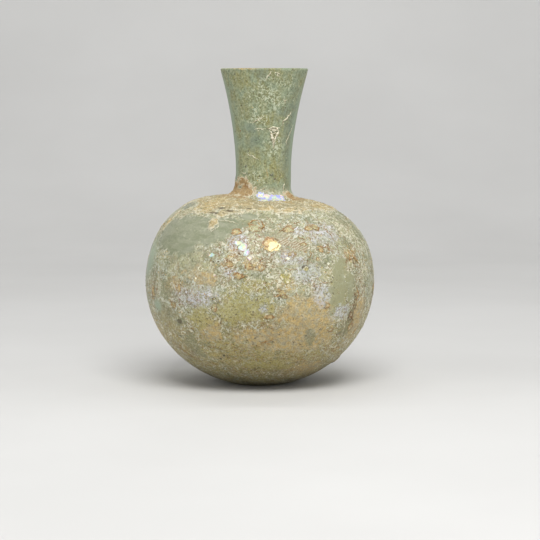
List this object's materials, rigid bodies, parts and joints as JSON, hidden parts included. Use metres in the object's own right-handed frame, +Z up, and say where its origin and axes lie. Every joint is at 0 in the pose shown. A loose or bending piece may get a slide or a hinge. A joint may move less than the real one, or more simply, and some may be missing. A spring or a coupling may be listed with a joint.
{
  "type": "glass perfume flask",
  "caption": "Blown glass flask with a round, slightly squat body, a slim neck and a funnel mouth, weathered and crusted, for scented oil.",
  "frame": {"origin": "on the ground, under the middle of the round body", "axes": "+Z up through the neck, +X to the right of someone who faces the flask, +Y away from them"},
  "size_m": [0.0876, 0.0876, 0.12],
  "materials": {
    "weathered_glass": "pale green blown glass under a milky, rainbow-tinted weathering film, with tan and brown burial crust on most of the body"
  },
  "bodies": {
    "root": {"flask": "weathered_glass"}
  },
  "joints": []
}
